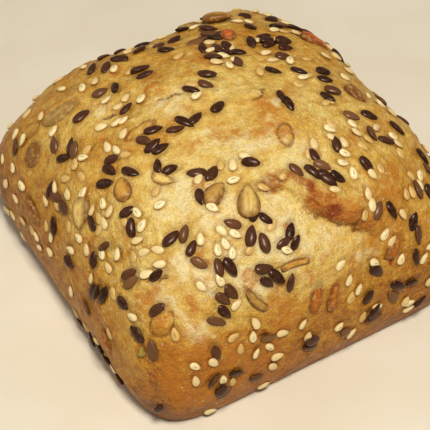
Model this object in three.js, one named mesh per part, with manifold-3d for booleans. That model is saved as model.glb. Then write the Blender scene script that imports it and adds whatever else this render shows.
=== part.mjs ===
// A square seeded bread roll, baked as one piece: a domed crust on a flat base, torn open across
// its front right, with sunflower and pumpkin kernels, flax and sesame baked into it.
// Millimetres, +Z up, origin at the middle of the base. The tear is on the -Y side.

import * as THREE from 'three';
import { mergeVertices } from 'three/addons/utils/BufferGeometryUtils.js';
import Module from 'manifold-3d';

// Driving dimensions of the dough
const WIDTH = 88.4;            // along x, at the widest line
const DEPTH = 90;              // along y, at the widest line
const HEIGHT = 48;             // from the base to the crown
const BULGE_HEIGHT = 10.8;     // from the base to the widest line
const BASE_INSET = 0.05;       // how much narrower the base is than the widest line, as a share

// Roundness of the dough: powers of the superellipses that its outlines follow
const FLANK_POWER = 2.7;       // side view, outward
const CROWN_POWER = 2.3;       // side view, upward
const BULGE_POWER = 8;         // plan view at the widest line, nearly square
const TOP_POWER = 1.75;        // plan view at the crown, nearly round

// The crust's chart gives a place on it as (x, y): 0 at the crown, 100 at the widest line, 115 at the base
const CHART_BULGE = 100;
const CHART_BASE = 115;
const CHART_STRETCH = 1.25;    // evens out the length of a chart unit, about 0.6 mm

// Broad lumps of the crust: direction of the wave, its length, its height and its phase
const LUMPS = [
  { towards: [0.9, 0.4, 0.1], length: 31, height: 0.4, phase: 0.6 },
  { towards: [-0.5, 0.8, 0.2], length: 24, height: 0.35, phase: 2.1 },
  { towards: [0.3, -0.6, 0.7], length: 19, height: 0.3, phase: 4.4 },
  { towards: [0.7, 0.7, -0.3], length: 14, height: 0.2, phase: 1.3 },
];
const LUMPS_FADE = [0.6, 1];   // chart levels, as shares of CHART_BULGE, where the lumps die away

// The tear: its foot along the chart, the browned lip behind it and the risen dough in front of it
const TEAR_PATH = [[-13, -36], [-3, -42], [3, -53], [10, -60.5], [18, -66], [25, -72]];
const TEAR_RADIUS = 1.2;       // of the open groove at the foot
const TEAR_STEPS = 12;
const TEAR_HALF_SIDES = 3;
const TEAR_LIP = { away: 5, spread: 4.5, height: 1.3 };
const TEAR_FOOT = { away: -1, spread: 4, height: -1.2 };
const TEAR_RISE = { away: -15, spread: 9, height: 0.6 };

// Shallow creases and folds of the crust: path on the chart, half width there, and height
const CREASES = [
  { path: [[-33, -17], [-18, -18], [2, -21], [17, -25]], spread: 5, height: -0.6 },
  { path: [[-25, 13], [-19, 11], [-12, 8]], spread: 2.5, height: -0.5 },
  { path: [[-67, -66], [-66, -75], [-60, -79], [-52, -79]], spread: 3, height: 0.5 },
];

// Kinds of seed: size, how much the pointed end narrows, the share that stands out of the crust,
// and the sides and rings of the faceted body
const FLAX = { length: 4.6, width: 2.3, thickness: 1.75, taper: 0.3, proud: 0.42, sides: 4, rings: 3 };
const SESAME = { length: 3, width: 1.8, thickness: 1.3, taper: 0.4, proud: 0.42, sides: 4, rings: 3 };
const KERNEL = { thickness: 0.52, taper: 0.3, sides: 5, rings: 3 };  // thickness as a share of width
const FACET_FILL = 1.12;       // makes up for what the flat sides cut off

// Kernels by hand, largest first: place on the chart, heading there in degrees, length, width, share proud
const KERNELS = [
  [-56, 42, -15, 9.8, 4.6, 0.4], [-88, 28, 252, 7.8, 3.8, 0.5], [-16.5, -42, 60, 7.8, 4.8, 0.75],
  [26, 49, -20, 7.6, 4.6, 0.85], [51.5, 19, -60, 7.6, 4.4, 0.5], [-31.5, 3, 0, 7.5, 3.2, 0.18],
  [-6, -83, 62, 7.5, 3, 0.3], [-68.2, -5.3, 214, 7.4, 4.6, 0.5], [2.5, -86, 62, 7, 2.2, 0.3],
  [-31, -74.5, 116, 6.6, 2.1, 0.6], [-11.5, -67.5, -5, 6.6, 1.7, 0.6], [-28.3, -39, 32, 6.6, 4.2, 0.5],
  [-24, 23.5, -45, 6.5, 4.2, 0.14], [48, -14, -60, 6.4, 4.2, 0.45],
  [-71.5, 38, 30, 6.4, 6, 0.2], [-49.5, -13.5, 65, 6.2, 4.2, 0.5], [-76.5, -73.5, 10, 6.2, 4.8, 0.25],
  [8, -25, 60, 6, 3.4, 0.18], [-97, -50, 60, 6, 3.4, 0.5], [-37, 24, 60, 6, 5, 0.14],
  [34, -78, 40, 5.5, 3, 0.35], [-68, 49, -30, 5.2, 3.6, 0.3], [22.5, 35.3, 59, 5, 3.6, 0.6],
  [-38.5, -20.5, -75, 5, 3.2, 0.35],
];

// Groups of flax by hand: place on the chart, heading there in degrees, seeds lying side by side
const FLAX_GROUPS = [
  [-2, 9, -42, 2], [-11, 9, -53, 1], [-5, -3, 22, 1], [-21.2, -4.6, -8, 1], [-17.5, -3, -70, 1],
  [-27.8, -0.3, -16, 1], [-32.7, -2.4, -57, 1], [-31.8, -5.9, 5, 1], [-30.6, -8.4, 2, 1],
  [-35.5, -14, 59, 1], [-35, -19, -15, 1], [-32.5, -30, 105, 1], [-25.5, -31.5, 32, 1],
  [-8.5, -29.5, -24, 1], [-36.5, -40.5, -78, 1], [-16.5, -46.6, 54, 1], [-13.4, -49.6, -63, 1],
  [-27, -49, 159, 1], [18, -11.5, -72, 1], [20, -18.5, -72, 1], [-46.5, 0.3, -29, 1], [-48.4, -2.2, -70, 1],
  [-53.5, -5, -39, 1], [-44, -9.5, -60, 1], [-42, 38.5, 15, 1], [-37.5, 38, 44, 1], [-33, 19, 34, 1],
  [-49, 29.5, 16, 1], [-54.9, 16, 39, 1], [-55.5, 20.2, 35, 1], [-60.2, 18.1, -45, 1], [-61, 28, 60, 1],
  [-76.5, 53, 40, 1], [-73.1, 17.9, 5, 1], [-72.4, 12.4, -73, 1], [-73.5, 5.5, -90, 1], [-84, 9, 40, 1],
  [-53.5, -22, -9, 1], [-56.5, -28, 57, 1], [-67, -12.5, 70, 1], [-69.5, -23.5, -40, 1],
  [-76.5, -22.5, 40, 1], [-87, -9, -90, 1], [-84.5, -34, 26, 3], [-69.5, -44, -20, 2], [-79, -49, -90, 1],
  [-83.5, -65.5, 77, 1], [-85, -78, 60, 1], [-53.5, -46.5, -4, 1], [-50, -53, 30, 2], [-48, -59, -15, 1],
  [-21.8, -53.8, 53, 1], [-18.5, -57, 84, 1], [-12.5, -59, 13, 1], [-8.1, -57, 49, 1], [-8.2, -61.4, 49, 1],
  [-37, -61, -89, 2], [-23.5, -64.5, -15, 1], [-22, -69.5, -74, 2], [-15, -73, 61, 1], [-43.6, -70, -49, 1],
  [-38.4, -69.2, -59, 1], [-44.6, -74.8, -62, 1], [-50, -76.8, -23, 1], [-73, -66.5, -40, 1],
  [-64.5, -54, -32, 1], [-56, -87, 72, 1], [-32.5, -89, -20, 1], [-52, -97.5, -20, 1], [-63, -99.5, 20, 3],
  [-43, -103, -15, 1], [-104, -103, 0, 1], [-11, -99, -20, 2], [10, -101, -20, 1], [26, -100, 20, 2],
  [3.5, -38, -66, 1], [13.5, -37, -85, 1], [13.5, -41.5, -48, 1], [8.5, -41, -69, 1], [12, -44, -35, 1],
  [12.7, -46.7, -56, 1], [16.3, -46.8, -55, 1], [32, -50, -75, 1], [27, -63, 40, 1], [34.5, -66, -83, 1],
  [45, -73, 50, 1], [46.5, -78.5, -95, 1], [46, -86, -80, 1], [24.5, -84, -40, 1], [37, -94, -15, 2],
  [47, -94.5, -15, 1], [20.5, -92.5, 50, 1], [21, 23, 0, 1], [35, 25, -20, 3], [37.5, 18, -20, 2],
  [21, 5, -53, 1], [38, -4, -30, 2], [36, -13.5, -45, 2], [41.1, -27.6, -44, 1], [47.7, -27.4, -40, 1],
  [26, -38.5, 45, 1], [47.5, -41.1, -71, 1], [52.1, -45.4, -17, 1], [-18.5, 31.5, -25, 2],
  [-4, 34.5, -30, 1], [16.6, 27.5, 93, 1], [6, 25.6, 70, 1], [6.3, 19.1, -30, 1], [16.5, 40, -20, 2],
];
const GROUP_SPACING = 3.6;     // chart units between the seeds of a group
const GROUP_LOOSENESS = { place: 1.2, heading: 40 };

// Sesame by hand: place on the chart and heading; the rest are too small to count in the solid
const SESAME_PLACES = [
  [-36, 22.5, 15], [-44.5, 6, 75], [-71, 15.5, 40], [-62.3, -0.2, 10], [-58.4, -16, 35], [-75.2, -10.8, 95],
  [-67.5, -30.6, 45], [-60.6, -40.4, -45], [-54.3, -31, 25], [-79.3, -57.5, 100], [-69, -89.2, -30],
  [-39.7, -93, 40], [-25, -90, -10], [-35, -82, 97], [-14.5, -90.3, 45], [10.2, -82, 65], [29, -72, 32],
  [37, -83.4, 65], [13, -50.2, -32], [22.2, -44.4, -35], [29.6, -35.2, -45], [28.5, 16.5, -25],
  [10.8, 15.3, 100], [-17.3, -34.2, 12],
];

// Scattered by rule on the two sides away from the tear, where none was placed by hand
const SCATTER_REACH = 108;     // how far down the crust the scatter goes, on the chart
const BACK_STARTS = { x: 54, y: 44 };
const BACK_FLAX = { tries: 100, keep: 0.75 };
const BACK_KERNELS = {
  tries: 34, keep: 0.75, length: [5.5, 9], slenderness: [0.4, 0.65], proud: [0.25, 0.6],
};
const SCATTER_STEP = { x: 0.7548776662, y: 0.569840291 };   // spreads places evenly over a square
const SERIES_SHIFT = { x: 0.31, y: 0.17 };   // sets the places of one series apart from the next
const CLEARANCE = 0.8;         // mm between scattered seeds, besides SEED_REACH of both their lengths
const SEED_REACH = 0.25;

// The faceted core
const CORE_DETAIL = 11;
const CORE_BULGE_POLAR = THREE.MathUtils.degToRad(128);   // more of the facets go to the top
const CORE_CORNER_PULL = 0.45;   // and to the corners
const CORE_BOTTOM_LEVEL = 1.65;
const MERGE_TOLERANCE = 1e-4;

// A repeatable draw between 0 and 1
function draw(index, series) {
  const wave = Math.sin(index*12.9898 + series*78.233)*43758.5453;
  return wave - Math.floor(wave);
}

// The distance from the middle to a superellipse as wide and deep as the roll
function sectionRadius(azimuth, power) {
  const x = Math.abs(2*Math.cos(azimuth)/WIDTH)**power;
  const y = Math.abs(2*Math.sin(azimuth)/DEPTH)**power;
  return (x + y)**(-1/power);
}

// The smooth dough at a level, 0 at the crown and 1 at the widest line, in a direction round it
function doughPoint(level, azimuth) {
  const turn = 0.5*Math.PI*Math.min(level, 1)**CHART_STRETCH;
  const rise = Math.max(Math.cos(turn), 0)**(2/CROWN_POWER);
  const under = Math.max(level - 1, 0)*CHART_BULGE/(CHART_BASE - CHART_BULGE);
  const reach = Math.sin(turn)**(2/FLANK_POWER) - BASE_INSET*under**2;
  const z = BULGE_HEIGHT*(1 - under) + (HEIGHT - BULGE_HEIGHT)*rise;
  const radius = Math.max(reach, 0)*sectionRadius(azimuth, BULGE_POWER + (TOP_POWER - BULGE_POWER)*rise);
  return new THREE.Vector3(radius*Math.cos(azimuth), radius*Math.sin(azimuth), z);
}

const chartLevel = (x, y) => Math.max(Math.abs(x), Math.abs(y))/CHART_BULGE;
const chartPoint = (x, y) => doughPoint(chartLevel(x, y), Math.atan2(y, x));

// The outward direction of the smooth dough at a place on the chart
function chartNormal(x, y) {
  const step = 0.5;
  const alongX = chartPoint(x + step, y).sub(chartPoint(x - step, y));
  const alongY = chartPoint(x, y + step).sub(chartPoint(x, y - step));
  return alongX.cross(alongY).normalize();
}

// Signed distance on the chart from a path, positive on its left, and the share of the path gone by
function alongPath(path, x, y) {
  let nearest = { distance: Infinity, side: 1, share: 0 };
  for (let i = 0; i + 1 < path.length; i += 1) {
    const [ax, ay] = path[i];
    const [bx, by] = path[i + 1];
    const [ux, uy] = [bx - ax, by - ay];
    const part = THREE.MathUtils.clamp(((x - ax)*ux + (y - ay)*uy)/(ux*ux + uy*uy), 0, 1);
    const distance = Math.hypot(x - ax - part*ux, y - ay - part*uy);
    if (distance < nearest.distance) {
      const side = Math.sign(ux*(y - ay) - uy*(x - ax)) || 1;
      nearest = { distance, side, share: (i + part)/(path.length - 1) };
    }
  }
  return { offset: nearest.distance*nearest.side, share: nearest.share };
}

const swell = (offset, { away, spread, height }) => height*Math.exp(-(((offset - away)/spread)**2));

// How far the crust stands off the smooth dough, in mm
function relief(x, y) {
  const point = chartPoint(x, y);
  const level = chartLevel(x, y);
  let height = 0;
  for (const lump of LUMPS) {
    const way = new THREE.Vector3(...lump.towards).normalize().dot(point);
    height += lump.height*Math.sin(2*Math.PI*way/lump.length + lump.phase);
  }
  height *= 1 - THREE.MathUtils.smoothstep(level, ...LUMPS_FADE);
  const tear = alongPath(TEAR_PATH, x, y);
  const open = Math.sqrt(Math.sin(Math.PI*tear.share));
  for (const part of [TEAR_LIP, TEAR_FOOT, TEAR_RISE]) {
    height += open*swell(tear.offset, part);
  }
  for (const crease of CREASES) {
    const { offset, share } = alongPath(crease.path, x, y);
    height += Math.sin(Math.PI*share)*swell(offset, { away: 0, ...crease });
  }
  return height;
}

function crustPoint(x, y) {
  return chartPoint(x, y).addScaledVector(chartNormal(x, y), relief(x, y));
}

// Which seeds lie where: each has a kind, a place and a heading on the chart, and its sizes
function kernelSeeds() {
  return KERNELS.map(([x, y, heading, length, width, proud]) => (
    { ...KERNEL, x, y, heading, length, width, proud, thickness: KERNEL.thickness*width }));
}

function groupedFlax() {
  const seeds = [];
  for (const [x, y, heading, count] of FLAX_GROUPS) {
    const across = THREE.MathUtils.degToRad(heading + 90);
    for (let i = 0; i < count; i += 1) {
      const step = GROUP_SPACING*(i - 0.5*(count - 1));
      const loose = [1, 2, 3].map((series) => draw(seeds.length, series) - 0.5);
      seeds.push({
        ...FLAX,
        x: x + step*Math.cos(across) + GROUP_LOOSENESS.place*loose[0],
        y: y + step*Math.sin(across) + GROUP_LOOSENESS.place*loose[1],
        heading: heading + (count > 1 ? GROUP_LOOSENESS.heading : 0)*loose[2],
      });
    }
  }
  return seeds;
}

function sesameSeeds() {
  return SESAME_PLACES.map(([x, y, heading]) => ({ ...SESAME, x, y, heading }));
}

// An even scatter over the chart, thinned by a rule and kept clear of the seeds that are there
function scatter(tries, series, keep, makeSeed, seeds) {
  const added = [];
  for (let i = 0; i < tries; i += 1) {
    const x = SCATTER_REACH*(2*((0.5 + (i + 1)*SCATTER_STEP.x + series*SERIES_SHIFT.x) % 1) - 1);
    const y = SCATTER_REACH*(2*((0.5 + (i + 1)*SCATTER_STEP.y + series*SERIES_SHIFT.y) % 1) - 1);
    const at = chartPoint(x, y);
    const seed = { ...makeSeed(i), x, y, heading: 360*draw(i, series + 1) };
    const clear = (other) => (
      at.distanceTo(chartPoint(other.x, other.y)) > CLEARANCE + SEED_REACH*(seed.length + other.length));
    if (draw(i, series) < keep(x, y) && seeds.every(clear) && added.every(clear)) {
      added.push(seed);
    }
  }
  return added;
}

const onBack = (x, y) => x > BACK_STARTS.x || y > BACK_STARTS.y;
const between = ([low, high], share) => low + (high - low)*share;

function backKernel(index) {
  const length = between(BACK_KERNELS.length, draw(index, 31));
  const width = length*between(BACK_KERNELS.slenderness, draw(index, 32));
  const proud = between(BACK_KERNELS.proud, draw(index, 33));
  return { ...KERNEL, length, width, proud, thickness: KERNEL.thickness*width };
}

function allSeeds() {
  const seeds = [...kernelSeeds(), ...groupedFlax(), ...sesameSeeds()];
  const backShare = ({ keep }) => (x, y) => (onBack(x, y) ? keep : 0);
  seeds.push(...scatter(BACK_KERNELS.tries, 5, backShare(BACK_KERNELS), backKernel, seeds));
  seeds.push(...scatter(BACK_FLAX.tries, 9, backShare(BACK_FLAX), () => FLAX, seeds));
  return seeds;
}

// Solids
const wasm = await Module();
wasm.setup();

function toSolid(geometry) {
  geometry.deleteAttribute('normal');
  geometry.deleteAttribute('uv');
  const merged = mergeVertices(geometry, MERGE_TOLERANCE);
  return new wasm.Manifold(new wasm.Mesh({
    numProp: 3,
    vertProperties: new Float32Array(merged.attributes.position.array),
    triVerts: new Uint32Array(merged.index.array),
  }));
}

function coreSolid() {
  const ball = new THREE.IcosahedronGeometry(1, CORE_DETAIL);
  const at = ball.attributes.position;
  const direction = new THREE.Vector3();
  for (let i = 0; i < at.count; i += 1) {
    direction.fromBufferAttribute(at, i).normalize();
    const polar = Math.acos(THREE.MathUtils.clamp(direction.z, -1, 1));
    const around = Math.atan2(direction.y, direction.x);
    const azimuth = around + 0.25*CORE_CORNER_PULL*Math.sin(4*around);
    const below = Math.max(polar - CORE_BULGE_POLAR, 0)/(Math.PI - CORE_BULGE_POLAR);
    const level = Math.min(polar/CORE_BULGE_POLAR, 1) + (CORE_BOTTOM_LEVEL - 1)*below;
    const spread = CHART_BULGE*level/Math.max(Math.abs(Math.cos(azimuth)), Math.abs(Math.sin(azimuth)));
    const point = level < 1
      ? crustPoint(spread*Math.cos(azimuth), spread*Math.sin(azimuth))
      : doughPoint(level, azimuth);
    at.setXYZ(i, point.x, point.y, point.z);
  }
  return toSolid(ball);
}

function tearSolid() {
  const curve = new THREE.CatmullRomCurve3(TEAR_PATH.map(([x, y]) => crustPoint(x, y)));
  const section = new THREE.Shape().absarc(0, 0, TEAR_RADIUS, 0, 2*Math.PI);
  return toSolid(new THREE.ExtrudeGeometry(section, {
    steps: TEAR_STEPS, extrudePath: curve, curveSegments: TEAR_HALF_SIDES, bevelEnabled: false,
  }));
}

function baseCutter() {
  return toSolid(new THREE.BoxGeometry(2*WIDTH, 2*DEPTH, 2*HEIGHT).translate(0, 0, -HEIGHT));
}

// A pointed oval, its tip towards +y, pressed into the crust at its place
function seedSolid(seed) {
  const body = new THREE.SphereGeometry(0.5, seed.sides, seed.rings);
  const at = body.attributes.position;
  for (let i = 0; i < at.count; i += 1) {
    const girth = FACET_FILL*(1 - seed.taper*at.getY(i));
    at.setXYZ(
      i, seed.width*girth*at.getX(i), seed.length*at.getY(i), seed.thickness*girth*at.getZ(i));
  }
  const normal = chartNormal(seed.x, seed.y);
  const turn = THREE.MathUtils.degToRad(seed.heading);
  const along = chartPoint(seed.x + Math.cos(turn), seed.y + Math.sin(turn))
    .sub(chartPoint(seed.x - Math.cos(turn), seed.y - Math.sin(turn)));
  const across = along.clone().cross(normal).normalize();
  along.crossVectors(normal, across);
  const middle = crustPoint(seed.x, seed.y).addScaledVector(normal, (seed.proud - 0.5)*seed.thickness);
  body.applyMatrix4(new THREE.Matrix4().makeBasis(across, along, normal).setPosition(middle));
  return toSolid(body);
}

// One body: scraps are dropped and hollows that the seeds seal off are filled
function largestBody(solid) {
  return solid.decompose().reduce((best, next) => (next.volume() > best.volume() ? next : best));
}

function rollGeometry() {
  let roll = coreSolid().subtract(tearSolid());
  for (const seed of allSeeds()) {
    roll = roll.add(seedSolid(seed));
  }
  const mesh = largestBody(roll.subtract(baseCutter())).getMesh();
  const geometry = new THREE.BufferGeometry();
  geometry.setAttribute('position', new THREE.BufferAttribute(mesh.vertProperties, 3));
  geometry.setIndex(new THREE.BufferAttribute(mesh.triVerts, 1));
  geometry.computeVertexNormals();
  return geometry;
}

const crustMaterial = new THREE.MeshStandardMaterial({ color: 0xc8963f, roughness: 0.6, metalness: 0 });
const roll = new THREE.Mesh(rollGeometry(), crustMaterial);
roll.name = 'roll';

const bread = new THREE.Group();
bread.add(roll);

export default bread;
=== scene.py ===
# Looks of the seeded bread roll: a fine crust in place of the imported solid, and its seeds as pieces
# of their own, one piece for each kind. Sizes are in millimetres until a mesh is made.

import math
from dataclasses import dataclass

import bpy
import numpy as np
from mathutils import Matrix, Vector


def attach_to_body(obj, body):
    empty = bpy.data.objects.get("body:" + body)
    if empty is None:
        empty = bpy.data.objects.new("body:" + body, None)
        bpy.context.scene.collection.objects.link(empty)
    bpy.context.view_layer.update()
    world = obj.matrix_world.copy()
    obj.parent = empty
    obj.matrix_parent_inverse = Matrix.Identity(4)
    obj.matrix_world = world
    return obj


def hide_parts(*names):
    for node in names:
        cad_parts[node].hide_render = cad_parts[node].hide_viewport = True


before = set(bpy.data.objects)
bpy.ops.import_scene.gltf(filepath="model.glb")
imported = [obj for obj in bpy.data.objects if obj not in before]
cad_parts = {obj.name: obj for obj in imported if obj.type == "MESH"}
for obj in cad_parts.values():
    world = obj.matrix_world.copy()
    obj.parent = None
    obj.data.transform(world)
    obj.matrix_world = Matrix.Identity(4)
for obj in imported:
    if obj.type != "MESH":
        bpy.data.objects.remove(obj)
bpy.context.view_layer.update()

MM = 0.001

# Driving dimensions of the dough, as in the solid
WIDTH = 88.4  # along x, at the widest line
DEPTH = 90.0  # along y, at the widest line
HEIGHT = 48.0  # from the base to the crown
BULGE_HEIGHT = 10.8  # from the base to the widest line
BASE_INSET = 0.05  # how much narrower the base is, as a share
FLANK_POWER = 2.7  # superellipse powers: side view, outward
CROWN_POWER = 2.3  # side view, upward
BULGE_POWER = 8.0  # plan view at the widest line, nearly square
TOP_POWER = 1.75  # plan view at the crown, nearly round

# The crust's chart gives a place on it as (x, y): 0 at the crown, 100 at the widest line, 115 at the base
CHART_BULGE = 100.0
CHART_BASE = 115.0
CHART_STRETCH = 1.25

# Broad relief, as in the solid: lumps (direction, length, height, phase), the tear and shallow creases
LUMPS = [
    ((0.9, 0.4, 0.1), 31, 0.4, 0.6),
    ((-0.5, 0.8, 0.2), 24, 0.35, 2.1),
    ((0.3, -0.6, 0.7), 19, 0.3, 4.4),
    ((0.7, 0.7, -0.3), 14, 0.2, 1.3),
]
LUMPS_FADE = (0.6, 1.0)
TEAR_PATH = [(-13, -36), (-3, -42), (3, -53), (10, -60.5), (18, -66), (25, -72)]
TEAR_LIP = (5, 4.5, 1.3)  # away from the path, spread, height
TEAR_FOOT = (-1, 4, -1.2)
TEAR_RISE = (-15, 9, 0.6)
CREASES = [
    ([(-33, -17), (-18, -18), (2, -21), (17, -25)], 5, -0.6),
    ([(-25, 13), (-19, 11), (-12, 8)], 2.5, -0.5),
    ([(-67, -66), (-66, -75), (-60, -79), (-52, -79)], 3, 0.5),
]

# Fine relief of the baked skin: length and height of its unevenness in mm
SKIN = [(9.0, 0.2), (4.2, 0.15), (2.2, 0.09)]
SKIN_FADE = (1.05, 1.14)  # chart levels where it dies away
BASE_PITS = (5.0, 0.25)

# Thin cracks, and the edge of the skin on softer dough; raggedness is length in mm, stray on the chart
CRACKS = [
    [(-25, 13), (-20, 11.2), (-16, 10.5), (-12, 8)],
    [(-43, 22), (-39, 19.5), (-36, 19)],
    [(6, -9), (10, -8.5), (12, -4), (10, -1)],
    [(-66, -55.5), (-64, -58), (-63.5, -61.5)],
    [(3.4, -54.8), (4.4, -56), (6, -56.6)],
]
CRACK_RAGGED = [(3.0, 0.6)]
CRACK_SPREAD = 0.8
CRACK_HEIGHT = -0.35
EDGE_PATH = [(-36, -16), (-26, -17), (-10, -19), (4, -21), (18, -25.5)]
EDGE_LINE = (EDGE_PATH, [(4.0, 0.9), (1.8, 0.5)], 170)  # path, raggedness, series of draws
SKIN_EDGE = (0.6, 6.0, 0.35)  # half width on the chart, how far back it fades, height

# The torn dough along the tear's ragged edge: how far away from it, spread, height
TEAR_LINE = (TEAR_PATH, [(5.0, 1.1), (2.2, 0.8), (1.2, 0.4)], 90)
TEAR_EDGE = (0.8, 7.0, 0.7)  # as SKIN_EDGE
TEAR_GROOVE = (-0.6, 1.2, -0.7)
TORN_BAND = (-2, 6)
TORN_ROUGHNESS = (1.8, 0.45)  # length and height in mm
STRAND_BAND = (3.0, 6.0)
STRAND_HEIGHT = 0.3
STRAND_SPACING = 3.0  # on the chart
STRAND_STRAY = (4.0, 2.4)  # length of their waviness in mm, its strength
STRAND_TONE = 0.4  # how much less scorched the dough is between them

# The crust around its seeds, in mm
SEED_MOAT = 0.2  # how far the skin is drawn in at the edge of a seed
SEED_RIM = 0.4  # how far beside a seed, for the moat and the painted shade
OUTLINE = 0.3  # half width of the line around a covered kernel: browner crust with painted shade in its groove
MARK_REACH = 2.0  # how far beyond its ends a seed can mark the crust
COVERED_SHOULDER = (0.5, 1.0)  # shares of its half sizes where a covered kernel's lump falls away

# The grid that the crust is made of
CRUST_STEPS = 300
BASE_RINGS = 5

# How brown the crust is at the crown, and how much it gains between two levels or places of the chart
CROWN_BROWNING = 0.42
# The second row darkens the crust below the bulge: a browner underside with painted shade
BROWNING_DOWN = [(0.6, 1.0, 0.26), (1.0, 1.12, 0.14)]
BROWNING_FRONT = (75, 95, 0.1)
BROWNING_BACK = (10, 50, 0.1)
BROWNING_UNEVEN = [(22, 0.1)]  # length in mm, strength
BASE_EDGE = (1.12, 1.148)  # levels where the edge of the base darkens: browner, with a painted contact shadow

# Tones of the crust: place on the chart, radius, strength
PALE_FRONT = (-22, -45, 42, 0.27)
# browner, with painted shade, at the bottom of the near corner
SHADED_BROWN_CORNER = (-100, -102, 16, 0.2)
FLUSHED = [
    (-57.5, -70.5, 3.5, 1.0), (-72, -56.5, 4.5, 1.0), (-24, 23, 7, 0.8), (10, -15, 7, 0.8),
    (-76, -73, 6, 0.7), (8, -25, 5, 0.7), (-6, -83, 6, 0.9), (2, -86, 6, 0.9), (34, -78, 6, 0.9),
    (-22, -82, 9, 0.8), (22, -8, 6, 0.5), (28, -62, 11, 0.8), (48, -35, 10, 0.5), (-62, -95, 20, 0.9),
    (-84, -97, 14, 0.9), (-36, -97, 16, 0.7), (1, -69, 7, 0.4), (14, -75, 6, 0.4), (-62, 8, 12, 0.2),
    (-40, 2, 9, 0.4), (40, -60, 9, 0.7), (3, 19, 5, 0.8), (-90, 20, 14, 0.4), (16, -78, 4, 0.8),
    (-20, -2, 4, 0.7), (-64, -34, 6, 0.5), (-45, -57, 3, 0.8), (-6, -73, 7, 0.5),
]
PALE = [
    (-13, -57, 14, 0.8), (-32, -48, 12, 0.8), (6, -63, 8, 0.5), (-6, -45, 6, 0.5), (-38, -28, 9, 0.7),
    (-18, 7, 7, 0.8), (-44, -38, 10, 0.6), (8, -33, 7, 0.6), (-40, 25, 6, 0.5), (19, -73, 7, 0.5),
    (-56, -58, 5, 1.0), (-43, -61, 5, 1.0), (-48, -64, 5, 0.9), (-34, -56, 6, 0.8), (17, -15, 4, 0.8),
    (-7.6, -40.2, 2.5, 1.0), (-4.5, -44.6, 2.5, 1.0), (-3, -48.5, 1.5, 1.0), (-29, -67, 9, 0.8),
    (-20, -66, 7, 0.5), (-66, -62, 13, 0.4),
]
SINGED = [
    (5.2, -45.4, 1.8, 1.0), (9, -56, 2.3, 1.0), (11, -56.8, 2.3, 1.0), (3.5, -49.5, 1.6, 0.5),
    (19, -60.5, 1.8, 0.6), (18, -63.5, 2, 0.6), (-33, -87, 2.2, 0.8), (34, -79, 2.6, 0.8),
    (31.5, -82.5, 1.8, 0.7), (-4, -37.5, 1.8, 0.5),
]

# Scorched streaks and pale lines: path on the chart, spread
STREAKS = [
    ([(-12, -35), (-7.3, -38.2), (-3, -38.7), (0.4, -38.7), (2.4, -41.9), (5.2, -45.4), (5.7, -49.2)], 2.0),
    ([(0.4, -38.7), (2.4, -41.9), (5.2, -45.4), (5.7, -49.2), (8.9, -52.9), (10.8, -56.7)], 2.8),
    ([(-10, -88), (-5, -78)], 1.8), ([(-1.5, -91), (3.5, -81)], 1.8), ([(3, 18), (7, 20)], 2.0),
]
PALE_LINES = [
    ([(5.9, -40.4), (6.8, -43), (7.5, -45.2)], 0.6),
    ([(-58, -57), (-57, -65)], 3.0), ([(-47, -58), (-44, -63)], 3.0),
    ([(-73, -65), (-68, -70), (-65, -75), (-61, -78.5), (-53, -78.8), (-44, -78)], 2.2),
]
LINE_PALE = 0.95
CREASE_PALE = (1.4, 0.7)  # spread as a share of the crease's, strength
STAIN_RAGGED = [(6, 1.8), (2.4, 1.0)]
BLUSH = (9, 0.4, 1.2, 0.6)  # length in mm, waves where it begins and is full, strength
FLUSH_OVER_PALE = 0.9  # how much of the pale tone the flushed edges cover

# Tones along the tear: away from its edge, spread and strength, and shares of its length where they set in
TEAR_BANDS = {
    "flushed": ((3.5, 4.4, 1.0), (0.15, 0.45)),
    "scorched": ((1.8, 2.2, 1.0), (0.2, 0.5)),
    # the torn edge: dark crumb with painted shade under the lip
    "torn": ((0, 0.9, 0.8), (0.3, 0.6)),
}
EDGE_BANDS = {"flushed": (2.5, 3, 0.55), "torn": (0, 0.6, 0.4)}  # and along the edge of the skin

# Colours of the baked crust from pale to brown, and the size in mm and strength of their unevenness
CRUST_BAKING = [
    (0.0, (240, 216, 138)), (0.25, (224, 186, 92)), (0.5, (204, 151, 51)), (0.75, (180, 113, 25)),
    (1.0, (134, 76, 14)),
]
CRUST_MOTTLING = [(9.0, 0.45), (4.0, 0.75), (1.6, 0.7), (0.8, 0.4)]

# Tones over it, in order: mask, size of its ragged edge in mm, raggedness, strength, colour
CRUST_TONES = [
    ("pale", 3.0, 1.4, 0.8, (240, 221, 164)),
    ("flushed", 1.8, 1.5, 0.75, (188, 112, 24)),
    ("scorched", 0.9, 1.1, 0.85, (166, 84, 12)),
    ("singed", 0.8, 0.9, 0.9, (132, 38, 8)),
    # torn: dark crumb with painted shade along the torn edges and in the cracks
    ("torn", 0.7, 1.4, 0.85, (100, 60, 26)),
]
TEAR_TONES = ("scorched", "singed", "torn")  # stringy along the tear
TEAR_HEADING = -52  # degrees
TEAR_STRETCH = (0.35, 1.3, 1.0)  # along the tear, across it and upright
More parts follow.
